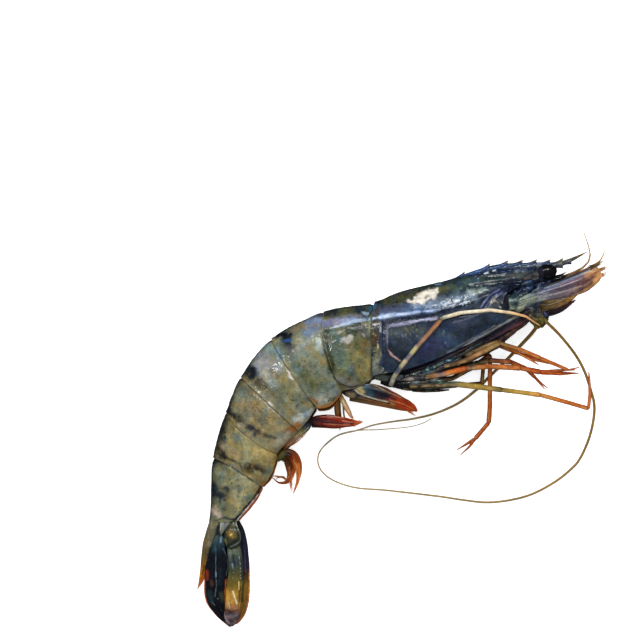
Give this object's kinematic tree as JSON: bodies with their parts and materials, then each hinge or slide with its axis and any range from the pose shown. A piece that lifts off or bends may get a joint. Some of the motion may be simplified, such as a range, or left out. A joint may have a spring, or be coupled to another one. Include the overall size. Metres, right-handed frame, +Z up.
{
  "type": "raw tiger prawn",
  "caption": "Whole raw tiger prawn with head and shell on, lying curled on its left side with legs and long feelers spread.",
  "frame": {"origin": "on the surface the prawn lies on, under the centre of its bounding box", "axes": "+Z up, away from the surface and out of the right flank; +X towards the head; +Y towards the back, so the tail hangs towards -Y"},
  "size_m": [0.1429, 0.1386, 0.0217],
  "materials": {
    "carapace_shell": "wet glossy shell, blue-black with olive mottling",
    "abdomen_shell": "wet satin shell, grey-green and olive with dark bands",
    "tail_shell": "glossy blue-black blades with orange edges",
    "tail_gold": "glossy olive-gold shell",
    "leg_shell": "glossy translucent orange-brown",
    "leg_banded": "glossy, banded cream, blue-grey and red-brown",
    "feeler": "satin olive-brown, finely ringed",
    "scale_shell": "glossy purple-grey blade with a ragged brown tip",
    "swimmeret_shell": "glossy red-orange blade with a hairy fringe",
    "eye": "glossy black",
    "sternum_shell": "wet blue-black leg roots"
  },
  "bodies": {
    "root": {"carapace": "carapace_shell", "sternum": "sternum_shell", "abdomen_1": "abdomen_shell", "abdomen_2": "abdomen_shell", "abdomen_3": "abdomen_shell", "abdomen_4": "abdomen_shell", "abdomen_5": "abdomen_shell", "abdomen_6": "abdomen_shell", "eye_near": "eye", "eye_far": "eye", "antennule_near": "feeler", "antennule_far": "feeler", "antenna_near_base": "feeler", "antenna_far_base": "feeler", "antenna_near": "feeler", "antenna_far": "feeler", "antenna_scale_near": "scale_shell", "antenna_scale_far": "scale_shell", "maxilliped_near": "leg_shell", "maxilliped_far": "leg_shell", "leg_near_1": "leg_shell", "leg_near_2": "leg_shell", "leg_near_3": "leg_shell", "leg_near_4": "leg_shell", "leg_near_5": "leg_banded", "leg_far_1": "leg_shell", "leg_far_2": "leg_shell", "leg_far_3": "leg_shell", "leg_far_4": "leg_shell", "leg_far_5": "leg_shell", "swimmeret_near_1": "swimmeret_shell", "swimmeret_near_2": "swimmeret_shell", "swimmeret_near_3": "swimmeret_shell", "swimmeret_near_4": "swimmeret_shell", "swimmeret_near_5": "swimmeret_shell", "swimmeret_far_1": "swimmeret_shell", "swimmeret_far_2": "swimmeret_shell", "swimmeret_far_3": "swimmeret_shell", "swimmeret_far_4": "swimmeret_shell", "swimmeret_far_5": "swimmeret_shell", "telson": "tail_gold", "uropod_base_near": "tail_gold", "uropod_base_far": "tail_shell", "uropod_inner_near": "tail_shell", "uropod_inner_far": "tail_shell", "uropod_outer_near": "tail_gold", "uropod_outer_far": "tail_shell"}
  },
  "joints": []
}
